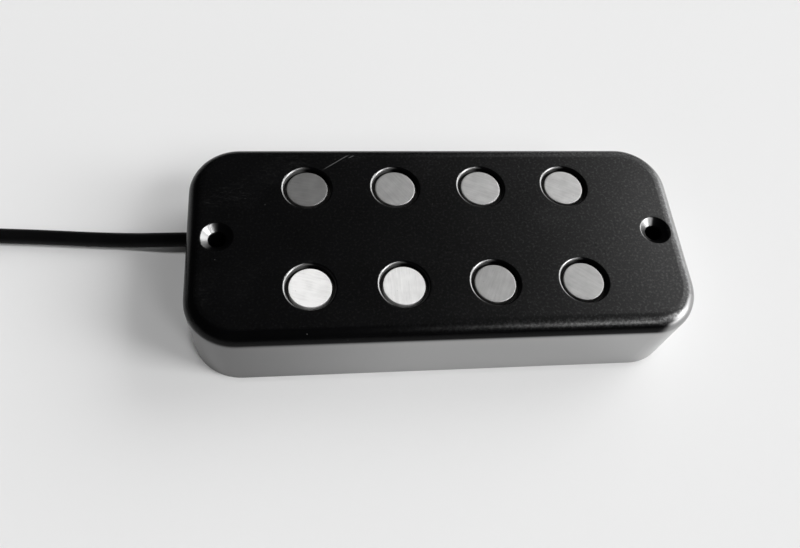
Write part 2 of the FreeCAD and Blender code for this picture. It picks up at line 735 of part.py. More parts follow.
def coil_stations():
    # One station each quarter turn, in two layers: spiral in, climb, spiral out.
    # The turns lean on the table on one side and on their tie on the other.
    inner, pitch = size("coil_inner_radius"), size("coil_turn_pitch")
    layer = size("coil_layer_pitch")
    rate = pitch / (2 * math.pi)
    outer = inner + pitch * QUARTERS_PER_LAYER / 4
    slope = (size("strap_thickness") + size("strap_gap")) / (outer + inner + pitch / 2)
    entry = Vector(*LEAD_ROUTE[-1])
    centre = Vector(entry.x - 2 * size("lead_radius"), entry.y - outer, entry.z)
    last = 2 * QUARTERS_PER_LAYER
    stations = []
    for quarter in range(last + 1):
        off = quarter - QUARTERS_PER_LAYER
        angle = (1 + quarter) * math.pi / 2
        radius = inner + pitch * abs(off) / 4
        drift = 0 if off == 0 or quarter in (0, last) else math.copysign(rate, off)
        height = 0 if off < 0 else layer
        climb = 0
        if off == 0:
            height, climb = layer / 2, CLIMB_SHARE * layer / math.pi
        outwards = Vector(math.cos(angle), math.sin(angle), 0)
        onwards = Vector(-math.sin(angle), math.cos(angle), 0)
        spot = centre + outwards * radius
        heading = outwards * drift + onwards * radius
        spot.z += height + slope * (entry.x - spot.x)
        heading.z = climb - slope * heading.x
        stations.append((spot, heading.normalize()))
    return entry, centre, slope, stations


def least_gap(path, diameter):
    # Compares places on the path that are over a quarter turn apart.
    step = diameter / 2
    spots = path.discretize(Distance=step)
    skip = int(math.pi * size("coil_inner_radius") / 2 / step)
    closest = min((one - other).Length for index, one in enumerate(spots)
                  for other in spots[index + skip:])
    return closest - diameter


# The put-away length of the lead, its tie and its stripped end
def make_coil():
    entry, centre, slope, stations = coil_stations()
    diameter = 2 * size("lead_radius")
    edges, radii = [Part.LineSegment(entry, stations[0][0]).toShape()], []
    for (start, heading), (finish, leaving) in zip(stations, stations[1:]):
        for edge, radius in biarc(start, heading, finish, leaving):
            edges.append(edge)
            radii.append(radius)
    last, leaving = stations[-1]
    end = last + leaving * diameter
    edges.append(Part.LineSegment(last, end).toShape())
    path = Part.Wire(edges)
    print("lead_coil: turns of %.1f to %.1f mm radius, least gap to itself %.2f mm"
          % (min(radii), max(radii), least_gap(path, diameter)))
    keep_shape("lead_coil", tube_along(path, size("lead_radius"), "lead_coil"))
    make_strap(centre, slope)
    make_tails(end, leaving)


def make_strap(centre, slope):
    # The tie goes round the turns on the side away from the body.
    pitch, radius = size("coil_turn_pitch"), size("lead_radius")
    thick, width = size("strap_thickness"), size("strap_width")
    near = size("coil_inner_radius") + pitch / 2
    right = centre.x - near + radius + size("strap_side_gap")
    left = centre.x - near - pitch - radius - size("strap_side_gap")
    top = (thick + slope * pitch + 2 * radius + size("coil_layer_pitch")
           + 2 * size("strap_gap"))
    front = centre.y - width / 2
    outside = Part.makeBox(right - left + 2 * thick, width, top + thick,
                           Vector(left - thick, front, 0))
    outside = outside.makeFillet(size("strap_round"), lengthwise(outside))
    inside = Part.makeBox(right - left, width, top - thick, Vector(left, front, thick))
    inside = inside.makeFillet(size("strap_round") - thick, lengthwise(inside))
    block = Part.makeBox(size("strap_head"), width, size("strap_head_height"),
                         Vector((left + right - size("strap_head")) / 2, front,
                                top + thick / 2))
    keep_shape("coil_tie", outside.fuse(block).cut(inside).removeSplitter())


def lengthwise(solid):
    return [edge for edge in solid.Edges
            if abs(edge.tangentAt(edge.FirstParameter).y) > 1 - TOUCH]


def make_tails(end, leaving):
    # Four insulated conductors and the twisted shield, fanned apart on the table.
    apart, insulation = size("tail_spread"), size("conductor_radius")
    tips = {"red": 2 * apart, "white": apart, "green": -apart, "black": -2 * apart}
    for colour, (across, up) in bundle_places().items():
        lay_tail("tail_" + colour, end + Vector(0, across, up), leaving,
                 tips[colour] - across, insulation)
    lay_tail("tail_shield", end, leaving, apart / 4, size("shield_radius"))


def lay_tail(name, base, leaving, aside, radius):
    begin = base + leaving * size("tail_straight")
    foot = begin.x + size("tail_fall")
    tube(name, [base, begin,
                Vector(foot, base.y + aside * FOOT_SHARE, radius),
                Vector(foot + size("tail_rest"), base.y + aside, radius)], radius)


make_cover()
make_board()
make_base_screws()
make_coils()
make_terminals()
make_inner_lead()
make_wires()
tube("lead", LEAD_ROUTE, size("lead_radius"))
make_coil()
doc.recompute()

for thing in doc.Objects:
    if "Invalid" in thing.State or "Error" in thing.State:
        raise ValueError("%s did not build" % thing.Name)
for thing in PARTS:
    if thing.Shape.isNull() or not thing.Shape.isValid():
        raise ValueError("%s is not a sound solid" % thing.Label)
for thing in PARTS:
    thing.Shape.exportStep("parts/%s.step" % thing.Label)
print("%d pieces written" % len(PARTS))
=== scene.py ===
import math

import bmesh
import bpy
from bpy.props import FloatProperty, FloatVectorProperty, PointerProperty
from bpy.types import Operator, Panel, PropertyGroup
from mathutils import Matrix, Vector


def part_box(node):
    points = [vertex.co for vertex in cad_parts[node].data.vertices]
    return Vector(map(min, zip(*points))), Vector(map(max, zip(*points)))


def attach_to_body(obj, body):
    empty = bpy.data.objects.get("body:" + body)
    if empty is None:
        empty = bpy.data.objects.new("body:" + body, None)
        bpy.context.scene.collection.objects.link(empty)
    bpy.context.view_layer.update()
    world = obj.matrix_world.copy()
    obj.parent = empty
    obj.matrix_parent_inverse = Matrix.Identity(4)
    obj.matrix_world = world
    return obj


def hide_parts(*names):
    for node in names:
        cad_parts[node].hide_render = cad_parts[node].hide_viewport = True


bl_info = {
    "name": "Bass pickup",
    "version": (1, 0, 0),
    "blender": (4, 5, 0),
    "location": "View3D > Sidebar > Bass pickup",
    "description": "Dresses a bass guitar pickup: its cover, magnets, lead and inner parts",
    "category": "Object",
}

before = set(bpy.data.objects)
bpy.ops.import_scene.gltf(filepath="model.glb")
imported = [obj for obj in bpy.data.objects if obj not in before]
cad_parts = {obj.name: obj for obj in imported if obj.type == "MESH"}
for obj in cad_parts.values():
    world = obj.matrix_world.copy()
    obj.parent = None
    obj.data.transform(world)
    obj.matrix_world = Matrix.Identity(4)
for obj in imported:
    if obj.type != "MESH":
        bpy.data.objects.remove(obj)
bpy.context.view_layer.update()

MM = 0.001
BODY = "root"
ROWS = ("front", "rear")
# The cover's outline and the rounded edge round its top, as the solids have them.
CORNER_RADIUS = 10.8 * MM
TOP_EDGE_RADIUS = 3.5 * MM
# Outside radius of a sleeved conductor, and the step of the four from the lead's axis.
CONDUCTOR_RADIUS = 0.5 * MM
BUNDLE_STEP = 0.62 * MM
STRAND_RADIUS = 0.1 * MM


# ---- shader maths ----

def both_ways(operation):
    """The operator between a signal and another term, and its reflected form."""
    def straight(self, other):
        return self.maths(operation, self, other)

    def reflected(self, other):
        return self.maths(operation, other, self)

    return straight, reflected


class Signal:
    """A node's output that shader maths can be written with."""

    def __init__(self, finish, socket):
        self.finish = finish
        self.socket = socket

    def maths(self, operation, *terms):
        return self.finish.add("ShaderNodeMath", {"operation": operation},
                               dict(enumerate(terms)))

    __add__, __radd__ = both_ways("ADD")
    __sub__, __rsub__ = both_ways("SUBTRACT")
    __mul__, __rmul__ = both_ways("MULTIPLY")
    __truediv__, __rtruediv__ = both_ways("DIVIDE")

    larger = both_ways("MAXIMUM")[0]
    smaller = both_ways("MINIMUM")[0]

    def abs(self):
        return self.maths("ABSOLUTE", self)

    def sin(self):
        return self.maths("SINE", self)

    def sqrt(self):
        return self.maths("SQRT", self)

    def fraction(self):
        return self.maths("FRACT", self)

    def rise(self, low, high):
        """0 below low, 1 above high, smooth between."""
        return self.finish.add("ShaderNodeMapRange", {"interpolation_type": "SMOOTHSTEP"},
                               {"Value": self, "From Min": low, "From Max": high})


class Finish:
    """One material and the nodes that make it."""

    def __init__(self, name, colour):
        self.material = bpy.data.materials.new(name)
        self.material.use_nodes = True
        self.material.diffuse_color = (*colour[:3], 1)
        self.tree = self.material.node_tree
        self.tree.nodes.clear()
        self.here = self.add("ShaderNodeTexCoord", output="Object")

    def node(self, kind, settings=None, sockets=None):
        """A node of that kind: its settings first, then its sockets."""
        node = self.tree.nodes.new(kind)
        for name, value in (settings or {}).items():
            setattr(node, name, value)
        for name, value in (sockets or {}).items():
            socket = node.inputs[name]
            if isinstance(value, Signal):
                self.tree.links.new(value.socket, socket)
            elif socket.type == "RGBA":
                socket.default_value = (*value[:3], 1)
            else:
                socket.default_value = value
        return node

    def add(self, kind, settings=None, sockets=None, output=0):
        """One output of a new node."""
        return Signal(self, self.node(kind, settings, sockets).outputs[output])

    def parts(self, vector):
        """The three numbers of a vector."""
        node = self.node("ShaderNodeSeparateXYZ", {}, {0: vector})
        return [Signal(self, socket) for socket in node.outputs]

    def point(self, x, y, z):
        return self.add("ShaderNodeCombineXYZ", {}, {"X": x, "Y": y, "Z": z})

    def moved(self, vector, location=(0, 0, 0), turn=(0, 0, 0), scale=(1, 1, 1)):
        return self.add("ShaderNodeMapping", {},
                        {"Vector": vector, "Location": location, "Rotation": turn,
                         "Scale": scale})

    def noise(self, vector, size, detail=2.0, rough=0.5):
        """Soft noise with features of about that size in metres."""
        return self.add("ShaderNodeTexNoise", {},
                        {"Vector": vector, "Scale": 1 / size, "Detail": detail,
                         "Roughness": rough})

    def cells(self, vector, size):
        """How far the nearest of many scattered points is, in steps of that size."""
        return self.add("ShaderNodeTexVoronoi", {},
                        {"Vector": vector, "Scale": 1 / size}, "Distance")

    def line(self, x, y, ends, half=0.045 * MM):
        """1 on a thin line between two places, fading towards both."""
        (x0, y0), (x1, y1) = ends
        length = math.hypot(x1 - x0, y1 - y0)
        way_x, way_y = (x1 - x0) / length, (y1 - y0) / length
        along = ((x - x0) * way_x + (y - y0) * way_y) / length
        aside = ((x - x0) * way_y - (y - y0) * way_x).abs()
        return (1 - aside.rise(half, 2.5 * half)) * along.rise(0, 0.4) * (1 - along.rise(0.8, 1))

    def mix(self, factor, first, second):
        """From the first colour to the second; 6, 7 and 2 are the node's colour sockets."""
        return self.add("ShaderNodeMix", {"data_type": "RGBA"},
                        {0: factor, 6: first, 7: second}, 2)

    def bump(self, height, depth, strength, under=None):
        """A relief of that depth, on top of another one if there is one under it."""
        sockets = {"Height": height, "Distance": depth, "Strength": strength}
        if under:
            sockets["Normal"] = under
        return self.add("ShaderNodeBump", {}, sockets)

    def surface(self, colour, rough, normal=None, more=None):
        """The finished material; more holds its shader's other sockets."""
        sockets = {"Base Color": colour, "Roughness": rough, **(more or {})}
        if normal:
            sockets["Normal"] = normal
        shader = self.add("ShaderNodeBsdfPrincipled", {}, sockets)
        self.node("ShaderNodeOutputMaterial", {}, {"Surface": shader})
        return self.material


# ---- finishes ----

def shaded(colour, share):
    """The colour with its light multiplied by the share."""
    return tuple(part * share for part in colour[:3])


def past_outline(x, y):
    """How far a place is outside the cover's rounded outline, negative inside."""
    low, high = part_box("cover")
    past_end = (x.abs() - (high[0] - CORNER_RADIUS)).larger(0)
    past_side = (y.abs() - (high[1] - CORNER_RADIUS)).larger(0)
    return (past_end * past_end + past_side * past_side).sqrt() - CORNER_RADIUS


# Two hair scratches near the rear edge of the top, each from end to end.
HAIRLINES = (((-25.6 * MM, 16.2 * MM), (-18.8 * MM, 20.9 * MM)),
             ((-19.5 * MM, 19.6 * MM), (-18.0 * MM, 20.5 * MM)))


def moulded_plastic(name, colour):
    """Black satin plastic with a fine spark-worn grain, dust and hair scratches; its outer side
    walls carry a painted reflection, and the sides of its hole mouths that face the windows a
    painted highlight.
    """
    f = Finish(name, colour)
    x, y, z = f.parts(f.here)
    facing = f.add("ShaderNodeNewGeometry", output="Normal")
    across, back, up = f.parts(facing)
    flat = up.rise(0.93, 0.995)
    wall = 1 - up.abs().rise(0.03, 0.3)
    from_edge = past_outline(x, y)
    outside = from_edge.rise(-1.0 * MM, -0.5 * MM)
    bent = (1 - flat) * (1 - wall)
    rounded = bent * from_edge.rise(-TOP_EDGE_RADIUS - 0.2 * MM, -TOP_EDGE_RADIUS + 0.2 * MM)
    hole_rim = bent - rounded
    grain = f.noise(f.here, 0.55 * MM, 3, 0.6)
    corner = (0 - back).rise(0.08, 0.25) * (across * 0.97 - back * 0.26).rise(0.28, 0.5)
    glow = across.rise(0.3, 0.75).larger(corner)
    sparkle = 0.55 + 0.9 * grain.rise(0.4, 0.64)
    sheen = rounded * (0.14 * sparkle * up.rise(0.62, 0.82) * x.rise(-25 * MM, 35 * MM)
                       + 0.14 * across.rise(0.2, 0.5) + 0.86 * glow)
    window_facing = across * 0.96 - back * 0.28
    bore = wall * (1 - outside)
    mouth = bore * z.rise(17.2 * MM, 18.2 * MM)
    fine = f.noise(f.here, 0.2 * MM)
    cloud = f.noise(f.here, 14 * MM, 3, 0.55)
    streak = f.noise(f.moved(f.here, turn=(0, 0, 0.62), scale=(1, 14, 1)), 5 * MM)
    scratch = 1 - (streak - 0.5).abs().rise(0.0, 0.006)
    seldom = f.noise(f.moved(f.here, location=(0.013, 0.004, 0)), 17 * MM, 1).rise(0.56, 0.66)
    scratch = scratch * seldom * flat
    hairline = f.line(x, y, HAIRLINES[0]).larger(f.line(x, y, HAIRLINES[1])) * up.rise(0.5, 0.8)
    speck = 1 - f.cells(f.here, 2.1 * MM).rise(0.035, 0.06)
    speck = speck * f.noise(f.here, 3 * MM, 1).rise(0.54, 0.62)
    base = f.mix(cloud.rise(0.3, 0.7), shaded(colour, 0.8), shaded(colour, 1.25))
    base = f.mix(scratch * 0.25, base, (0.16, 0.16, 0.16))
    base = f.mix(speck * 0.30, base, (0.30, 0.30, 0.29))
    # Painted reflection: the outer side walls are paler than the top, standing for the bright
    # table they reflect.
    base = f.mix(wall * outside, base, (0.05, 0.05, 0.05))
    base = f.mix(hairline * 0.12, base, (0.9, 0.9, 0.9))
    # Painted highlight: the upper hole walls that face the windows are made pale, standing for
    # the direct window light that falls on them.
    base = f.mix(mouth * window_facing.rise(0.25, 0.6) * 0.14, base, (0.9, 0.9, 0.88))
    rough = (0.30 + 0.10 * (grain - 0.5) + 0.08 * (cloud - 0.5) - 0.12 * wall
             - 0.08 * scratch - 0.06 * rounded + 0.2 * bore)
    normal = f.bump(grain * 0.7 + fine * 0.3, 0.045 * MM, 0.8)
    normal = f.bump(scratch, 0.01 * MM, 0.5, normal)
    side_gloss = wall * outside * (0.36 + 0.64 * x.rise(-52.5 * MM, -2.5 * MM))
    top_gloss = flat * (0.078 + 0.092 * grain.rise(0.48, 0.72)) \
        * (0.65 + 0.45 * x.rise(-50 * MM, 60 * MM))
    rim_gloss = hole_rim * window_facing.rise(0.06, 0.36) * 0.8
    return f.surface(base, rough, normal, {
        "IOR": 1.18, "Coat Weight": side_gloss + top_gloss + rim_gloss + sheen.smaller(1),
        "Coat Roughness": 0.3, "Coat IOR": 3.9})


def ground_metal(name, shade, metallic, turn, rough):
    """A rod magnet's ground face, with grinding lines in one direction."""
    f = Finish(name, (shade, shade, shade))
    turned = f.moved(f.here, turn=(0, 0, turn))
    coarse = f.noise(f.moved(turned, scale=(1, 12, 1)), 4 * MM, 3, 0.6)
    fine = f.noise(f.moved(turned, scale=(1, 30, 1)), 3 * MM, 2, 0.6)
    cloud = f.noise(f.here, 2.4 * MM)
    pit = 1 - f.cells(f.here, 0.8 * MM).rise(0.05, 0.12)
    pit = pit * f.noise(f.here, 1.6 * MM, 1).rise(0.55, 0.65)
    tone = shade * (0.72 + 0.34 * coarse + 0.34 * (cloud - 0.3))
    base = f.mix(tone, (0.0, 0.0, 0.0), (1.0, 0.995, 0.985))
    base = f.mix(pit * 0.5, base, (0.08, 0.075, 0.07))
    normal = f.bump(coarse * 0.6 + fine * 0.4, 0.012 * MM, 0.5)
    return f.surface(base, rough + 0.12 * (fine - 0.5), normal,
                     {"Metallic": metallic, "IOR": 1.6})


def jacket_rubber(name, colour):
    """Soft black lead jacket: drawn along its length, with a light bloom."""
    f = Finish(name, colour)
    drawn = f.noise(f.moved(f.here, scale=(0.12, 1, 1)), 0.5 * MM, 3, 0.6)
    cloud = f.noise(f.here, 9 * MM, 3, 0.6)
    base = f.mix(cloud.rise(0.35, 0.7), colour, shaded(colour, 1.7))
    return f.surface(base, 0.46 + 0.18 * cloud + 0.08 * (drawn - 0.5),
                     f.bump(drawn, 0.02 * MM, 0.5), {"IOR": 1.2})


def insulation(name, colour):
    """Coloured plastic sleeve of one conductor."""
    f = Finish(name, colour)
    cloud = f.noise(f.here, 2.5 * MM)
    grime = f.noise(f.here, 0.6 * MM, 3, 0.6).rise(0.55, 0.8)
    base = f.mix(cloud, shaded(colour, 0.85), colour)
    base = f.mix(grime * 0.25, base, shaded(colour, 0.45))
    return f.surface(base, 0.38 + 0.14 * cloud, f.bump(grime, 0.01 * MM, 0.4), {"IOR": 1.5})


def bright_metal(name, colour, rough, size):
    """Tinned or plated metal with a soft grain and dull patches."""
    f = Finish(name, colour)
    cloud = f.noise(f.here, size, 3, 0.6)
    grain = f.noise(f.here, size / 8, 2, 0.6)
    dull = cloud.rise(0.45, 0.75)
    base = f.mix(dull, colour, shaded(colour, 0.72))
    return f.surface(base, rough + 0.16 * dull + 0.08 * (grain - 0.5),
                     f.bump(grain, 0.01 * MM, 0.4), {"Metallic": 1.0})


def wound_wire(name, colour, pitch):
    """Fine enamelled wire, wound side by side round the coil, with painted shade in the grooves
    between turns.
    """
    f = Finish(name, colour)
    x, y, z = f.parts(f.here)
    sway = f.noise(f.here, 5 * MM)
    turns = ((z + sway * 0.35 * MM) / pitch).fraction()
    round_top = (turns * (1 - turns) * 4).larger(0).sqrt()
    shade = f.noise(f.point(x * 0.2, y * 0.2, z), 0.35 * MM, 2, 0.6)
    # Painted shade: each turn is darker in the groove beside the next and lighter on its round
    # top.
    base = f.mix(round_top * 0.55 + shade * 0.35, shaded(colour, 0.35), colour)
    return f.surface(base, 0.30 + 0.15 * shade, f.bump(round_top, 0.03 * MM, 0.8),
                     {"Metallic": 0.85})


def woven_tape(name, colour, thread):
    """Black cotton tape: a plain weave that follows the coil round."""
    f = Finish(name, colour)
    u, v, _ = f.parts(f.add("ShaderNodeUVMap", {"uv_map": "round"}))
    warp = (u / thread * math.pi).sin()
    weft = (v / thread * math.pi).sin()
    weave = (warp * weft) * 0.5 + 0.5
    fuzz = f.noise(f.here, 0.25 * MM, 3, 0.7)
    base = f.mix(weave * 0.6 + fuzz * 0.4, shaded(colour, 0.5), shaded(colour, 1.5))
    return f.surface(base, 0.82 + 0.1 * fuzz,
                     f.bump(weave * 0.8 + fuzz * 0.2, 0.06 * MM, 0.7), {"Sheen Weight": 0.15})


def fibre_sheet(name, colour):
    """Pressed fibre sheet, grey-black, with long flecks and soft wear."""
    f = Finish(name, colour)
    fleck = f.noise(f.moved(f.here, turn=(0, 0, 0.3), scale=(1, 4, 1)), 1.2 * MM, 4, 0.65)
    fine = f.noise(f.here, 0.22 * MM, 3, 0.6)
    cloud = f.noise(f.here, 11 * MM, 3, 0.55)
    base = f.mix(fleck.rise(0.35, 0.7), shaded(colour, 0.6), colour)
    base = f.mix(cloud.rise(0.5, 0.8) * 0.5, base, shaded(colour, 1.6))
    return f.surface(base, 0.62 + 0.18 * fleck,
                     f.bump(fleck * 0.5 + fine * 0.5, 0.03 * MM, 0.6), {"IOR": 1.45})


def nylon(name, colour):
    """Black nylon strap with a faint flow pattern."""
    f = Finish(name, colour)
    flow = f.noise(f.moved(f.here, scale=(1, 0.3, 1)), 1.5 * MM, 3, 0.6)
    base = f.mix(flow, shaded(colour, 0.7), shaded(colour, 1.4))
    return f.surface(base, 0.30 + 0.2 * flow, f.bump(flow, 0.02 * MM, 0.4), {"IOR": 1.53})


def pale_table(name, colour):
    """Plain pale table top."""
    f = Finish(name, colour)
    cloud = f.noise(f.here, 90 * MM)
    base = f.mix(cloud, shaded(colour, 0.995), colour)
    return f.surface(base, 1.0, more={"Specular IOR Level": 0.0})


# ---- helpers ----

def corners(node):
    """The node's lowest and highest corner."""
    low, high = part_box(node)
    return Vector(low), Vector(high)


def middle(node):
    low, high = corners(node)
    return (low + high) / 2


def paint(node, material):
    """Gives one of the solids that stay its finish."""
    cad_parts[node].material_slots[0].material = material


def attach(piece, slot, *nodes):
    """The piece rides on the pickup, and stands for the nodes where there are any."""
    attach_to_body(piece, BODY)
    if nodes:
        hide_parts(*nodes)
    return piece


def mesh_piece(name, bm, material, node, slot, smooth=35):
    """The bmesh as a finished object, smooth but for edges sharper than the angle."""
    bmesh.ops.remove_doubles(bm, verts=bm.verts, dist=1e-7)
    bmesh.ops.recalc_face_normals(bm, faces=bm.faces)
    mesh = bpy.data.meshes.new(name)
    bm.to_mesh(mesh)
    bm.free()
    piece = bpy.data.objects.new(name, mesh)
    bpy.context.scene.collection.objects.link(piece)
    mesh.materials.append(material)
    mesh.shade_smooth()
    mesh.set_sharp_from_angle(angle=math.radians(smooth))
    return attach(piece, slot, node)


def empty_curve(name, radius, roundness, material=None):
    """A curve object without splines yet, and its curve."""
    curve = bpy.data.curves.new(name, "CURVE")
    curve.dimensions = "3D"
    curve.bevel_depth = radius
    curve.bevel_resolution = roundness
    curve.use_fill_caps = True
    if material:
        curve.materials.append(material)
    piece = bpy.data.objects.new(name, curve)
    bpy.context.scene.collection.objects.link(piece)
    return piece, curve


def smooth_tube(name, routes, radius, material=None, steps=8):
    """Round tubes along smooth lines that have each route's points as control points."""
    piece, curve = empty_curve(name, radius, 5, material)
    for points in routes:
        spline = curve.splines.new("NURBS")
        spline.points.add(len(points) - 1)
        for knot, spot in zip(spline.points, points):
            knot.co = (*spot, 1)
        spline.order_u = 3
        spline.use_endpoint_u = True
        spline.resolution_u = steps
    return piece


def line_of(points, steps=8):
    """Points read along the smooth line that the control points make."""
    guide = smooth_tube("guide", [points], 0, steps=steps)
    mesh = bpy.data.meshes.new_from_object(guide)
    spots = [vertex.co.copy() for vertex in mesh.vertices]
    curve = guide.data
    bpy.data.objects.remove(guide)
    bpy.data.curves.remove(curve)
    bpy.data.meshes.remove(mesh)
    return spots


def bevel(bm, geom, offset, segments, affect="EDGES"):
    bmesh.ops.bevel(bm, geom=geom, offset=offset, offset_type="OFFSET", segments=segments,
                    profile=0.5, affect=affect, material=-1)


def spun(profile, steps, centre=(0, 0), start=0.0):
    """The profile's (radius, height) points turned round a line along Z."""
    bm = bmesh.new()
    across, along = math.cos(start), math.sin(start)
    spots = [bm.verts.new((centre[0] + radius * across, centre[1] + radius * along, height))
             for radius, height in profile]
    edges = [bm.edges.new(pair) for pair in zip(spots, spots[1:])]
    bmesh.ops.spin(bm, geom=spots + edges, cent=(centre[0], centre[1], 0),
                   axis=(0, 0, 1), dvec=(0, 0, 0), angle=math.tau, steps=steps,
                   use_merge=True, use_duplicate=False)
    bmesh.ops.remove_doubles(bm, verts=bm.verts, dist=1e-7)
    return bm


def block(size, centre, soft, segments=3):
    """A box with broken edges."""
    bm = bmesh.new()
    bmesh.ops.create_cube(bm, size=1)
    bmesh.ops.scale(bm, verts=bm.verts, vec=size)
    bevel(bm, bm.edges[:], soft, segments)
    bmesh.ops.translate(bm, verts=bm.verts, vec=centre)
    return bm


def raised(bm, height):
    """The flat faces made into a solid of that height."""
    made = bmesh.ops.extrude_face_region(bm, geom=bm.faces[:])["geom"]
    top = [item for item in made if isinstance(item, bmesh.types.BMVert)]
    bmesh.ops.translate(bm, verts=top, vec=(0, 0, height))


def turned(bm, degrees, axis):
    """The bmesh turned about one of the frame's axes."""
    bmesh.ops.rotate(bm, verts=bm.verts, cent=(0, 0, 0),
                     matrix=Matrix.Rotation(math.radians(degrees), 3, axis))
    return bm


def merged(parts):
    """Several bmeshes in one."""
    whole = bmesh.new()
    for part in parts:
        mesh = bpy.data.meshes.new("part")
        part.to_mesh(mesh)
        part.free()
        whole.from_mesh(mesh)
        bpy.data.meshes.remove(mesh)
    return whole


# ---- properties ----

class CoverLook(PropertyGroup):
    colour: FloatVectorProperty(
        name="Plastic", description="Colour of the moulded cover", subtype="COLOR",
        default=(0.0016, 0.0016, 0.0018), min=0, max=1)


class MagnetLook(PropertyGroup):
    shade: FloatProperty(
        name="Metal", description="How pale the magnet metal is", subtype="FACTOR",
        default=0.62, min=0, max=1)
    edge: FloatProperty(
        name="Broken edge", description="Width of the broken edge round each magnet's ends",
        unit="LENGTH", default=0.07 * MM, min=0.05 * MM, max=0.6 * MM)


class LeadLook(PropertyGroup):
    diameter: FloatProperty(
        name="Diameter", description="Outside diameter of the lead's jacket",
        unit="LENGTH", default=3.3 * MM, min=1 * MM, max=6 * MM)
    colour: FloatVectorProperty(
        name="Jacket", description="Colour of the lead's jacket", subtype="COLOR",
        default=(0.002, 0.002, 0.0022), min=0, max=1)


class CoilLook(PropertyGroup):
    copper: FloatVectorProperty(
        name="Copper", description="Colour of the enamelled wire", subtype="COLOR",
        default=(0.50, 0.17, 0.07), min=0, max=1)
    tape: FloatVectorProperty(
        name="Tape", description="Colour of the cotton tape", subtype="COLOR",
        default=(0.016, 0.016, 0.017), min=0, max=1)
    ridge: FloatProperty(
        name="Ridge", description="Height of one ridge of wound wire",
        unit="LENGTH", default=0.4 * MM, min=0.1 * MM, max=2 * MM)


class StageLook(PropertyGroup):
    floor: FloatVectorProperty(
        name="Table", description="Colour of the table top", subtype="COLOR",
        default=(0.84, 0.84, 0.84), min=0, max=1)
    window: FloatProperty(
        name="Window light", description="Level of the window light on the table",
        default=0.305, min=0, max=2)
    second: FloatProperty(
        name="Second window", description="Level of the second window's light on the table",
        default=0.25, min=0, max=2)
    rear: FloatProperty(
        name="Rear window", description="Level of the rear window's light on the table",
        default=0.05, min=0, max=2)
    low: FloatProperty(
        name="Low wall", description="Level of the light that a low bright wall sends",
        default=0.03, min=0, max=2)
    gap: FloatProperty(
        name="Low panel", description="Level of the light between the two windows, low down",
        default=0.031, min=0, max=2)
    side: FloatProperty(
        name="Side window", description="Level of the side window's light on the table",
        default=0.08, min=0, max=2)
    fill: FloatProperty(
        name="Fill light", description="Level of the fill light on the table",
        default=0.285, min=0, max=2)
    room: FloatProperty(
        name="Room light", description="Level of the light from the room",
        default=0.035, min=0, max=2)


# ---- operators ----

# Each lamp's level: its name, the direction it stands in (from +X and up, in degrees), and
# its width and height in metres.
LAMPS = {
    "window": ("window", (-18, 35), (2.4, 4.6)),
    "second": ("second_window", (27, 27), (4.4, 7.4)),
    "side": ("side_window", (-54, 43), (1.6, 2.4)),
    "rear": ("rear_window", (57, 25), (3.6, 5.0)),
    "low": ("low_wall", (-26, 8), (6.0, 1.6)),
    "gap": ("low_panel", (0, 17), (2.8, 3.8)),
    "fill": ("fill", (-90, 89), (1.6, 1.6)),
}
LAMP_DISTANCE = 8.0
TABLE_HALF = 3.0
# The photograph's camera, solved together with the pickup's sizes.
CAMERA_LENS = 34.247
CAMERA_PLACE = Vector((-0.031119, -0.082015, 0.155115))
CAMERA_RIGHT = Vector((0.99074125, -0.08269358, 0.10767337))
CAMERA_UP = Vector((0.02211342, 0.88079518, 0.47298081))
CAMERA_AHEAD = Vector((0.13395066, 0.46622057, -0.87446875))


class PICKUP_OT_stage(Operator):
    """Table, window light, fill light, room and camera"""
    bl_idname = "pickup.stage"
    bl_label = "Stage"

    def execute(self, context):
        scene = context.scene
        look = scene.pickup_stage
        scene.view_settings.view_transform = "Standard"
        self.table(scene, look)
        for level, (name, direction, size) in LAMPS.items():
            lamp = self.lamp(scene, name, direction, size, getattr(look, level))
            lamp.visible_glossy = level != "fill"
        scene.world = bpy.data.worlds.new("room")
        scene.world.use_nodes = True
        room = scene.world.node_tree.nodes["Background"].inputs
        room["Color"].default_value = (1, 1, 1, 1)
        room["Strength"].default_value = look.room
        self.camera(scene)
        return {"FINISHED"}

    def table(self, scene, look):
        bm = bmesh.new()
        bmesh.ops.create_grid(bm, x_segments=1, y_segments=1, size=TABLE_HALF)
        mesh = bpy.data.meshes.new("table_top")
        bm.to_mesh(mesh)
        bm.free()
        mesh.materials.append(pale_table("table_paint", look.floor))
        table = bpy.data.objects.new("table_top", mesh)
        scene.collection.objects.link(table)

    def lamp(self, scene, name, direction, size, level):
        """A rectangular lamp whose light makes a white table that level."""
        azimuth, elevation = (math.radians(angle) for angle in direction)
        way = Vector((math.cos(azimuth) * math.cos(elevation),
                      math.sin(azimuth) * math.cos(elevation), math.sin(elevation)))
        data = bpy.data.lights.new(name, "AREA")
        data.shape = "RECTANGLE"
        data.size, data.size_y = size
        # A flat lamp of power P lights a surface that faces it at a distance D with
        # P / (pi * D * D), and a white surface shows that divided by pi.
        data.energy = level * math.pi ** 2 * LAMP_DISTANCE ** 2 / math.sin(elevation)
        lamp = bpy.data.objects.new(name, data)
        scene.collection.objects.link(lamp)
        lamp.location = way * LAMP_DISTANCE
        lamp.rotation_euler = (-way).to_track_quat("-Z", "Y").to_euler()
        return lamp

    def camera(self, scene):
        data = bpy.data.cameras.new("photo_camera")
        data.sensor_width = 36
        data.lens = CAMERA_LENS
        data.clip_start = 0.01
        camera = bpy.data.objects.new("photo_camera", data)
        scene.collection.objects.link(camera)
        turn = Matrix((CAMERA_RIGHT, CAMERA_UP, -CAMERA_AHEAD)).transposed().to_4x4()
        camera.matrix_world = Matrix.Translation(CAMERA_PLACE) @ turn
        scene.camera = camera


class PICKUP_OT_cover(Operator):
    """Satin black finish of the moulded cover"""
    bl_idname = "pickup.cover"
    bl_label = "Cover"

    def execute(self, context):
        look = context.scene.pickup_cover
        paint("cover", moulded_plastic("moulded_plastic", look.colour))
        return {"FINISHED"}
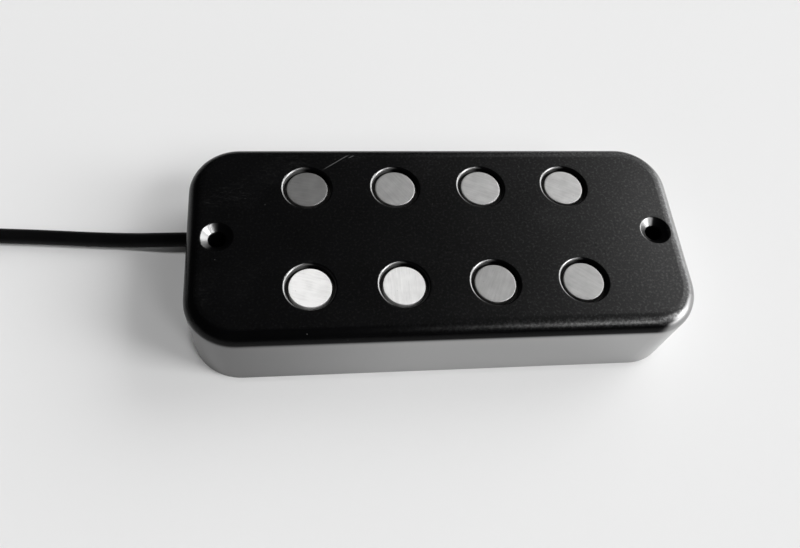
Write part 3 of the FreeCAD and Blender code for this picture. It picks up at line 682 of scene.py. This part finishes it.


# Each ground face: turn of its lines, tone against the common shade, and whether it is made pale
# and less metallic. The tones and the pale faces are painted reflection: each face is lighter or
# darker as it caught the window light.
GRINDING = {
    "front": ((0.30, 1.62, True), (1.57, 1.37, True), (2.00, 0.98, False), (0.64, 0.83, False)),
    "rear": ((0.20, 0.86, False), (0.90, 1.27, False), (0.40, 1.25, False), (0.49, 1.04, False)),
}


class PICKUP_OT_magnets(Operator):
    """Eight rod magnets with ground faces"""
    bl_idname = "pickup.magnets"
    bl_label = "Magnets"

    def execute(self, context):
        look = context.scene.pickup_magnets
        for row in ROWS:
            for number, (turn, tone, painted_pale_face) in enumerate(GRINDING[row], 1):
                node = "pole_%s_%d" % (row, number)
                # Painted reflection: each magnet's tone, and the pale, less metallic faces, stand
                # for how much window light each face reflects.
                metal = ground_metal(
                    "magnet_metal_%s_%d" % (row, number), look.shade * tone,
                    0.15 if painted_pale_face else 0.95, turn, 0.55 if painted_pale_face else 0.46)
                mesh_piece("magnet_%s_%d" % (row, number), self.rod(node, look.edge), metal,
                           node, "magnets", smooth=50)
        return {"FINISHED"}

    def rod(self, node, edge):
        """A round rod with broken edges, as long and wide as its solid."""
        low, high = corners(node)
        centre = middle(node)
        bm = bmesh.new()
        bmesh.ops.create_circle(
            bm, cap_ends=True, radius=(high.x - low.x) / 2, segments=72,
            matrix=Matrix.Translation((centre.x, centre.y, low.z)))
        raised(bm, high.z - low.z)
        rims = [line for line in bm.edges
                if abs(line.verts[0].co.z - line.verts[1].co.z) < 1e-6]
        bevel(bm, rims, edge, 3)
        caps = [face for face in bm.faces if len(face.verts) > 8]
        bmesh.ops.inset_region(bm, faces=caps, thickness=0.25 * MM, depth=0)
        return bm


# Places that the lead passes from the wall to its coil, in metres.
LEAD_ROUTE = (
    (-0.0537, 0.0089, 0.0034),
    (-0.0597, 0.0089, 0.0034),
    (-0.0677, 0.0099, 0.00165),
    (-0.0770, 0.01038, 0.00165),
    (-0.0876, 0.01118, 0.00165),
    (-0.0983, 0.01176, 0.00165),
    (-0.1086, 0.0126, 0.001773),
    (-0.1182, 0.0126, 0.00195),
)
COIL_CENTRE = (-0.1215, -0.008725)
COIL_INNER = 0.014675
COIL_PITCH = 0.0038
COIL_LAYER = 0.00375
COIL_LEAN = 0.01847
COIL_QUARTERS = 14
QUARTER_STEPS = 4
JACKET_PAST_COIL = 3.3 * MM
# Past the jacket: how far the conductors lie apart, and how much of each keeps its sleeve.
TAIL_SPREAD = 1.7 * MM
SLEEVED_SHARE = 0.83


def coil_places():
    """The coil's turns: a spiral inwards, up a layer, and outwards again."""
    entry = LEAD_ROUTE[-1]
    half = COIL_QUARTERS / 2
    reach = 1 / math.cos(math.pi / 4 / QUARTER_STEPS)
    last = COIL_QUARTERS * QUARTER_STEPS
    for step in range(last + 1):
        offset = step / QUARTER_STEPS - half
        angle = math.radians(90) * (1 + offset + half)
        radius = COIL_INNER + COIL_PITCH * abs(offset) / 4
        if 0 < step < last:
            radius *= reach
        climb = min(max((offset + 1) / 2, 0), 1)
        height = COIL_LAYER * climb * climb * (3 - 2 * climb)
        x = COIL_CENTRE[0] + radius * math.cos(angle)
        y = COIL_CENTRE[1] + radius * math.sin(angle)
        yield x, y, entry[2] + height + COIL_LEAN * (entry[0] - x)


def tail_route(base, leaving, aside, radius):
    """Straight out of the jacket, down to the table and along it."""
    begin = base + leaving * 4 * MM
    foot = begin.x + 9 * MM
    return [tuple(base), tuple(begin),
            (foot, base.y + aside * 0.5, radius),
            (foot + 8 * MM, base.y + aside, radius)]


class PICKUP_OT_lead(Operator):
    """Lead from the end wall along the table to its tied coil"""
    bl_idname = "pickup.lead"
    bl_label = "Lead"

    def execute(self, context):
        look = context.scene.pickup_lead
        turns = list(coil_places())
        leaving = Vector((1, 0, -COIL_LEAN)).normalized()
        end = Vector(turns[-1]) + leaving * JACKET_PAST_COIL
        points = [*LEAD_ROUTE, *turns, tuple(end)]
        lead = smooth_tube("lead_outside", [points], look.diameter / 2,
                           jacket_rubber("jacket_rubber", look.colour))
        attach(lead, "jacket", "lead", "lead_coil")
        line = line_of(points)
        length = sum((b - a).length for a, b in zip(line, line[1:]))
        print("lead: %.1f mm long" % (length / MM))
        ends = self.tails(end, leaving)
        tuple(LEAD_ROUTE[0])
        return {"FINISHED"}

    def tails(self, end, leaving):
        """The stripped end: four sleeved conductors and the twisted shield."""
        tin = bright_metal("tinned_strands", (0.70, 0.70, 0.71), 0.25, 0.8 * MM)
        tips = {"red": 2, "white": 1, "green": -1, "black": -2}
        made = []
        for colour, (across, up) in bundle_places().items():
            base = end + Vector((0, across, up))
            aside = tips[colour] * TAIL_SPREAD - across
            route = tail_route(base, leaving, aside, CONDUCTOR_RADIUS)
            sleeve = smooth_tube("tail_sleeve_" + colour, [route], CONDUCTOR_RADIUS,
                                 insulation("tail_sleeve_" + colour, SLEEVES[colour]))
            sleeve.data.bevel_factor_mapping_end = "SPLINE"
            sleeve.data.bevel_factor_end = SLEEVED_SHARE
            core = strands("tail_core_" + colour, tail_route(base, leaving, aside, 0.3 * MM),
                           0.17 * MM, 6, 4 * MM, tin)
            made += [attach(sleeve, "insulation_" + colour, "tail_" + colour),
                     attach(core, "shield")]
        route = tail_route(end, leaving, TAIL_SPREAD / 4, 0.3 * MM)
        shield = strands("tail_shield_wires", route, 0.18 * MM, 7, 4 * MM, tin)
        return made + [attach(shield, "shield", "tail_shield")]


def stretched(bm, spread):
    """Each half of a round shape moved outwards, which makes it a long oval."""
    for side in (-1, 1):
        half = [vertex for vertex in bm.verts if vertex.co.x * side > 1e-9]
        bmesh.ops.translate(bm, verts=half, vec=(side * spread / 2, 0, 0))
    return bm


def oval_ring(profile, spread, centre, steps=64):
    """A closed (radius, height) profile led round a long oval about centre."""
    bm = spun([*profile, profile[0]], steps, start=math.pi / steps)
    stretched(bm, spread)
    bmesh.ops.translate(bm, verts=bm.verts, vec=(centre[0], centre[1], 0))
    return bm


# Length of the tape's lapped end, which lies as far from the row's middle.
TAPE_LAP = 9 * MM


class PICKUP_OT_coils(Operator):
    """Windings, their cloth tape and the fibre plates above and below"""
    bl_idname = "pickup.coils"
    bl_label = "Coils"

    def execute(self, context):
        look = context.scene.pickup_coils
        copper = wound_wire("enamelled_copper", look.copper, look.ridge)
        cloth = woven_tape("cotton_tape", look.tape, 0.35 * MM)
        fibre = fibre_sheet("coil_form_fibre", (0.030, 0.029, 0.028))
        for row in ROWS:
            for level in ("lower", "upper"):
                paint("%s_plate_%s" % (level, row), fibre)
            self.winding(row, look, copper)
            self.tape(row, cloth)
        return {"FINISHED"}

    def winding(self, row, look, copper):
        """Wire laid in even ridges that swell a little at mid height."""
        node = "winding_" + row
        low, high = corners(node)
        left, right = corners("pole_%s_1" % row)
        radius = (high.y - low.y) / 2
        bore = (right.x - left.x) / 2 + 0.25 * MM
        count = int((high.z - low.z) / look.ridge)
        step = (high.z - low.z) / count
        profile = [(bore, low.z), (radius - 0.35 * MM, low.z)]
        for turn in range(count):
            share = (turn + 0.5) / count
            swell = radius - 0.28 * MM * (2 * share - 1) ** 2
            profile.append((swell, low.z + (turn + 0.5) * step))
            if turn < count - 1:
                profile.append((swell - 0.10 * MM, low.z + (turn + 1) * step))
        profile += [(radius - 0.35 * MM, high.z), (bore, high.z)]
        bm = oval_ring(profile, (high.x - low.x) - 2 * radius, middle(node))
        mesh_piece("coil_winding_" + row, bm, copper, node, "copper", smooth=75)

    def tape(self, row, cloth):
        """One turn of tape, with its end lapped over the start."""
        node = "coil_tape_" + row
        low, high = corners(node)
        centre = middle(node)
        radius = (high.y - low.y) / 2
        spread = (high.x - low.x) - 2 * radius
        thick, soft = 0.3 * MM, 0.08 * MM
        profile = [(radius - thick, low.z + soft), (radius - thick + soft, low.z),
                   (radius - soft, low.z), (radius, low.z + soft),
                   (radius, high.z - soft), (radius - soft, high.z),
                   (radius - thick + soft, high.z), (radius - thick, high.z - soft)]
        side = -1 if row == "front" else 1
        lap = block((TAPE_LAP, thick, high.z - low.z - 0.5 * MM),
                    centre + Vector((TAPE_LAP, side * (radius + thick / 2 - soft), 0)), soft, 2)
        bm = merged([oval_ring(profile, spread, centre), lap])
        around = bm.loops.layers.uv.new("round")
        for face in bm.faces:
            for loop in face.loops:
                spot = loop.vert.co - centre
                past = max(abs(spot.x) - spread / 2, 0)
                angle = math.atan2(past, abs(spot.y))
                way = min(abs(spot.x), spread / 2) + angle * radius
                loop[around].uv = (math.copysign(way, spot.x * spot.y or 1), spot.z)
        mesh_piece("cloth_tape_" + row, bm, cloth, node, "tape")


TERMINAL_STEP = 4.0 * MM


def terminals():
    """The middles of the five eyelets, from the rear to the front."""
    low, high = corners("terminal_eyelets")
    x, rim = (low.x + high.x) / 2, (high.x - low.x) / 2
    rear, front = high.y - rim, low.y + rim
    return [(x, rear), (x, rear - TERMINAL_STEP), (x, rear - 2 * TERMINAL_STEP),
            (x, front + TERMINAL_STEP), (x, front)]


class PICKUP_OT_board(Operator):
    """Board that closes the underside, with its screws, eyelets and solder"""
    bl_idname = "pickup.board"
    bl_label = "Board"

    def execute(self, context):
        paint("base_board", fibre_sheet("board_fibre", (0.034, 0.033, 0.031)))
        self.screws()
        self.eyelets()
        self.solder()
        return {"FINISHED"}

    def screws(self):
        """Countersunk screws with a slot, a thread and a point, heads down."""
        low, high = corners("base_screws")
        head, shank, core = 1.7 * MM, 0.9 * MM, 0.68 * MM
        rise, slot, deep = 0.85 * MM, 0.45 * MM, 0.4 * MM
        length = high.z - low.z
        neck = head - (head - shank) * deep / rise
        parts = []
        for x in (low.x + head, high.x - head):
            for y in (low.y + head, high.y - head):
                pieces = [spun([(0, deep), (neck - 0.02 * MM, deep), (shank, rise),
                                (core, rise + 0.15 * MM), (core, length - 1.3 * MM),
                                (0, length)], 36)]
                for side in (1, -1):
                    cheek = spun([(0, 0), (head - 0.06 * MM, 0), (head, 0.05 * MM),
                                  (neck, deep), (neck - 0.15 * MM, deep + 0.05 * MM),
                                  (0, deep + 0.05 * MM)], 36)
                    bmesh.ops.bisect_plane(
                        cheek, geom=[*cheek.verts, *cheek.edges, *cheek.faces], dist=1e-7,
                        plane_co=(side * slot / 2, 0, 0), plane_no=(side, 0, 0),
                        clear_inner=True)
                    rim = [edge for edge in cheek.edges if edge.is_boundary]
                    bmesh.ops.holes_fill(cheek, edges=rim, sides=0)
                    pieces.append(cheek)
                pieces.append(self.thread(core, shank, rise + 0.3 * MM, length - 1.2 * MM))
                # Each slot was left at another angle.
                screw = turned(merged(pieces), math.degrees(0.4 + 37 * x + 61 * y), "Z")
                bmesh.ops.translate(screw, verts=screw.verts, vec=(x, y, low.z))
                parts.append(screw)
        steel = bright_metal("plated_screw", (0.46, 0.46, 0.47), 0.28, 1.6 * MM)
        mesh_piece("board_screws", merged(parts), steel, "base_screws", "screws")

    def thread(self, core, crest, start, end):
        """A three-sided ridge led up a screw line."""
        pitch, steps = 0.62 * MM, 14
        foot = core - 0.05 * MM
        bm = bmesh.new()
        bm.faces.new([bm.verts.new(place) for place in (
            (foot, 0, start), (crest, 0, start + pitch * 0.28), (foot, 0, start + pitch * 0.56))])
        count = int(((end - start) / pitch - 1) * steps)
        bmesh.ops.spin(
            bm, geom=bm.faces[:] + bm.edges[:] + bm.verts[:], cent=(0, 0, 0), axis=(0, 0, 1),
            dvec=(0, 0, pitch / steps), angle=math.tau * count / steps, steps=count,
            use_merge=False, use_duplicate=False)
        return bm

    def eyelets(self):
        """Rolled tinned eyelets, open through the middle."""
        low, high = corners("terminal_eyelets")
        bore, barrel, rim, lip = 0.5 * MM, 0.8 * MM, 1.3 * MM, 0.2 * MM
        bottom, top = low.z, high.z
        soft = lip * 0.3
        profile = [(bore, bottom + soft), (bore + soft, bottom), (rim - soft, bottom),
                   (rim, bottom + soft), (rim, bottom + lip), (barrel, bottom + lip),
                   (barrel, top - lip), (rim, top - lip), (rim, top - soft),
                   (rim - soft, top), (bore + soft, top), (bore, top - soft),
                   (bore, bottom + soft)]
        parts = [spun(profile, 32, spot) for spot in terminals()]
        tin = bright_metal("tinned_brass", (0.66, 0.60, 0.44), 0.24, 1.2 * MM)
        mesh_piece("tinned_eyelets", merged(parts), tin, "terminal_eyelets", "eyelets")

    def solder(self):
        """A drawn-up blob of solder on each eyelet."""
        low, high = corners("solder_joints")
        foot = 1.2 * MM
        tall = high.z - low.z
        profile = [(0, low.z)] + [
            (foot * across, low.z + tall * up) for across, up in (
                (1.0, 0.0), (0.93, 0.10), (0.80, 0.26), (0.68, 0.45), (0.60, 0.64),
                (0.50, 0.82), (0.34, 0.95), (0.16, 1.0))] + [(0, high.z)]
        parts = [spun(profile, 28, spot) for spot in terminals()]
        solder = bright_metal("solder", (0.62, 0.62, 0.63), 0.20, 0.9 * MM)
        mesh_piece("solder_blobs", merged(parts), solder, "solder_joints", "solder", smooth=60)


def strap_band(width, height, corner, wall, breadth):
    """A rounded band lying about the origin, its opening along Y."""
    bm = bmesh.new()
    bmesh.ops.create_grid(bm, x_segments=1, y_segments=1, size=0.5)
    bmesh.ops.scale(bm, verts=bm.verts, vec=(width, height, 1))
    bevel(bm, bm.verts[:], corner, 6, "VERTICES")
    middle_face = bm.faces[:]
    bmesh.ops.inset_region(bm, faces=middle_face, thickness=wall, depth=0,
                           use_boundary=True, use_even_offset=True)
    bmesh.ops.delete(bm, geom=middle_face, context="FACES")
    raised(bm, breadth)
    bmesh.ops.translate(bm, verts=bm.verts, vec=(0, 0, -breadth / 2))
    edges = [edge for edge in bm.edges if len(edge.link_faces) == 2
             and edge.calc_face_angle(0) > math.radians(60)]
    bevel(bm, edges, 0.08 * MM, 2)
    return turned(bm, 90, "X")


RIB_PITCH = 0.5 * MM


def rib_places(half):
    """Where the ribs stand on a straight of twice that length, from its middle."""
    return [index * RIB_PITCH - half for index in range(int(2 * half / RIB_PITCH) + 1)]


class PICKUP_OT_ties(Operator):
    """Ribbed nylon ties round the coiled lead and behind the end wall"""
    bl_idname = "pickup.ties"
    bl_label = "Ties"

    def execute(self, context):
        strap = nylon("tie_nylon", (0.011, 0.011, 0.012))
        self.coil_tie(strap)
        self.wall_tie(strap)
        return {"FINISHED"}

    def coil_tie(self, strap):
        """A band with ribs over its top and both sides, its head and its cut tail."""
        low, high = corners("coil_tie")
        head_tall, head_long = 1.6 * MM, 3.2 * MM
        wall, rib, breadth = 0.45 * MM, 0.15 * MM, high.y - low.y
        band_top = high.z - head_tall + 0.3 * MM
        width, height = high.x - low.x - 2 * rib, band_top - low.z - rib
        centre = Vector(((low.x + high.x) / 2, (low.y + high.y) / 2, low.z + height / 2))
        band = strap_band(width, height, 1.05 * MM, wall, breadth)
        bmesh.ops.translate(band, verts=band.verts, vec=centre)
        parts = [band]
        for x in rib_places(width / 2 - 1.3 * MM):
            if abs(x) > head_long / 2 + 0.2 * MM:
                parts.append(block((0.24 * MM, breadth * 0.62, 2 * rib),
                                   centre + Vector((x, 0, height / 2)), 0.05 * MM))
        for z in rib_places(height / 2 - 1.3 * MM):
            for side in (-1, 1):
                parts.append(block((2 * rib, breadth * 0.62, 0.24 * MM),
                                   centre + Vector((side * width / 2, 0, z)), 0.05 * MM))
        head = Vector((centre.x, centre.y, high.z - head_tall / 2))
        parts += [block((head_long, breadth, head_tall), head, 0.28 * MM),
                  block((head_long + 1.4 * MM, breadth * 0.72, 0.5 * MM),
                        head + Vector((0.5 * MM, 0, 0)), 0.06 * MM)]
        mesh_piece("coil_strap", merged(parts), strap, "coil_tie", "tie")

    def wall_tie(self, strap):
        """A ribbed ring round the lead, with its head and tail above."""
        low, high = corners("cable_tie")
        lead = middle("lead_inner")
        x, breadth = (low.x + high.x) / 2, high.x - low.x
        inner, outer, soft, half = 1.7 * MM, 2.35 * MM, 0.2 * MM, breadth / 2
        parts = [spun([(inner, -half), (outer - soft, -half), (outer, soft - half),
                       (outer, half - soft), (outer - soft, half), (inner, half),
                       (inner, -half)], 40)]
        for index in range(22):
            rib = block((0.5 * MM, 0.26 * MM, breadth * 0.6), (outer, 0, 0), 0.05 * MM)
            parts.append(turned(rib, 40 + index * 12.7, "Z"))
        ring = turned(merged(parts), 90, "Y")
        bmesh.ops.translate(ring, verts=ring.verts, vec=(x, lead.y, lead.z))
        head = block((breadth, 2.8 * MM, 2.8 * MM), (x, lead.y, high.z - 1.4 * MM), 0.35 * MM)
        tail = block((breadth * 0.72, 3.8 * MM, 0.6 * MM),
                     (x, lead.y + 0.5 * MM, high.z - 1.2 * MM), 0.08 * MM)
        mesh_piece("wall_strap", merged([ring, head, tail]), strap, "cable_tie", "tie")


SLEEVES = {
    "red": (0.42, 0.012, 0.010),
    "white": (0.72, 0.71, 0.67),
    "green": (0.012, 0.16, 0.035),
    "black": (0.012, 0.012, 0.013),
}


def bundle_places(step=BUNDLE_STEP):
    """Where the four conductors lie in the jacket, across and up from its axis."""
    return {"red": (step, step), "white": (step, -step), "green": (-step, -step),
            "black": (-step, step)}


def strands(name, points, radius, count, pitch, material):
    """Fine bare wires twisted together along a smooth line."""
    line = line_of(points, 24)
    piece, curve = empty_curve(name, STRAND_RADIUS, 1, material)
    ahead = (line[1] - line[0]).normalized()
    side = ahead.cross(Vector((0, 0, 1))).normalized()
    rails, run = [], 0.0
    for index, spot in enumerate(line):
        if index:
            run += (spot - line[index - 1]).length
            ahead = (line[min(index + 1, len(line) - 1)] - line[index - 1]).normalized()
            side = (side - ahead * side.dot(ahead)).normalized()
        rails.append((spot, side.copy(), ahead.cross(side), run))
    for strand in range(count):
        spline = curve.splines.new("POLY")
        spline.points.add(len(rails) - 1)
        for knot, (spot, first, second, run) in zip(spline.points, rails):
            angle = math.tau * (strand / count + run / pitch)
            around = first * math.cos(angle) + second * math.sin(angle)
            knot.co = (*(spot + around * radius), 1)
    return piece


# Heights at which the conductors and the winding ends cross the board.
UPPER_WAY, LOWER_WAY, ENDS_WAY = 7.6 * MM, 5.6 * MM, 4.0 * MM


class PICKUP_OT_wires(Operator):
    """Conductors and shield inside the cover, from the lead to their eyelets"""
    bl_idname = "pickup.wires"
    bl_label = "Inner wires"

    def execute(self, context):
        low, high = corners("lead_inner")
        lead = middle("lead_inner")
        inner = smooth_tube("lead_in_cover", [[(x, lead.y, lead.z)
                                               for x in (low.x, lead.x, high.x)]],
                            (high.y - low.y) / 2, bpy.data.materials["jacket_rubber"])
        attach(inner, "jacket", "lead_inner")
        spots = terminals()
        terminal = spots[0][0]
        landing = corners("solder_joints")[1].z
        lane = terminal - 0.35 * MM
        goals = {"red": (spots[0], UPPER_WAY), "white": (spots[1], LOWER_WAY),
                 "green": (spots[3], LOWER_WAY), "black": (spots[4], UPPER_WAY)}
        for colour, (across, up) in bundle_places().items():
            (_, goal), level = goals[colour]
            begin = Vector((high.x, lead.y + across, lead.z + up))
            aside = math.copysign(1.6 * MM, goal - begin.y)
            wire = smooth_tube("inner_wire_" + colour, [[
                begin, begin + Vector((2 * MM, 0, 0)), (lane, begin.y + aside, level),
                (lane, goal, level), (lane, goal, landing)]], CONDUCTOR_RADIUS,
                insulation("sleeve_" + colour, SLEEVES[colour]))
            attach(wire, "insulation_" + colour, "conductor_" + colour)
        tin = bright_metal("tinned_wire", (0.70, 0.70, 0.71), 0.25, 0.8 * MM)
        shield = strands("inner_shield", [
            (high.x, lead.y, lead.z), (high.x + 2 * MM, lead.y, lead.z),
            (terminal - 2 * MM, lead.y, LOWER_WAY), (terminal, lead.y, LOWER_WAY),
            (terminal, lead.y, landing)], 0.17 * MM, 6, 2.4 * MM, tin)
        attach(shield, "shield", "shield_wire")
        copper = bright_metal("bare_copper", (0.62, 0.25, 0.12), 0.3, 1 * MM)
        self.winding_ends("front", spots[3:], landing, copper)
        self.winding_ends("rear", spots[:2], landing, copper)
        return {"FINISHED"}

    def winding_ends(self, row, spots, landing, copper):
        """The start and finish of one winding, led to their eyelets."""
        centre = middle("coil_tape_" + row)
        low, high = corners("coil_tape_" + row)
        taped = (high.y - low.y) / 2
        round_end = low.x + taped
        routes = []
        for terminal, goal in spots:
            lane = terminal + 0.5 * MM
            begin = round_end - math.sqrt(taped ** 2 - (goal - centre.y) ** 2) - 0.12 * MM
            routes.append([
                (begin, goal, ENDS_WAY), ((begin + lane) / 2, goal, ENDS_WAY),
                (lane, goal, ENDS_WAY), (lane, goal, (ENDS_WAY + landing) / 2),
                (lane, goal, landing)])
        wires = smooth_tube("winding_ends_" + row, routes, 0.15 * MM, copper)
        attach(wires, "copper", "coil_wires_" + row)


# ---- panel ----

class PICKUP_PT_panel(Panel):
    """Everything that dresses the pickup"""
    bl_idname = "PICKUP_PT_panel"
    bl_label = "Bass pickup"
    bl_space_type = "VIEW_3D"
    bl_region_type = "UI"
    bl_category = "Bass pickup"

    def draw(self, context):
        layout = self.layout
        for owner, names in LOOKS.items():
            group = getattr(context.scene, owner)
            box = layout.box()
            for name in names.__annotations__:
                box.prop(group, name)
        for operator in OPERATORS:
            layout.operator(operator.bl_idname)


LOOKS = {
    "pickup_cover": CoverLook,
    "pickup_magnets": MagnetLook,
    "pickup_lead": LeadLook,
    "pickup_coils": CoilLook,
    "pickup_stage": StageLook,
}
OPERATORS = (
    PICKUP_OT_stage,
    PICKUP_OT_ties,
    PICKUP_OT_lead,
    PICKUP_OT_cover,
    PICKUP_OT_magnets,
    PICKUP_OT_coils,
    PICKUP_OT_board,
    PICKUP_OT_wires,
)


def register():
    for kind in (*LOOKS.values(), *OPERATORS, PICKUP_PT_panel):
        bpy.utils.register_class(kind)
    for name, kind in LOOKS.items():
        setattr(bpy.types.Scene, name, PointerProperty(type=kind))


def unregister():
    for name in LOOKS:
        delattr(bpy.types.Scene, name)
    for kind in reversed((*LOOKS.values(), *OPERATORS, PICKUP_PT_panel)):
        bpy.utils.unregister_class(kind)


def main():
    register()
    for operator in OPERATORS:
        group, name = operator.bl_idname.split(".")
        getattr(getattr(bpy.ops, group), name)()


if __name__ == "__main__":
    main()
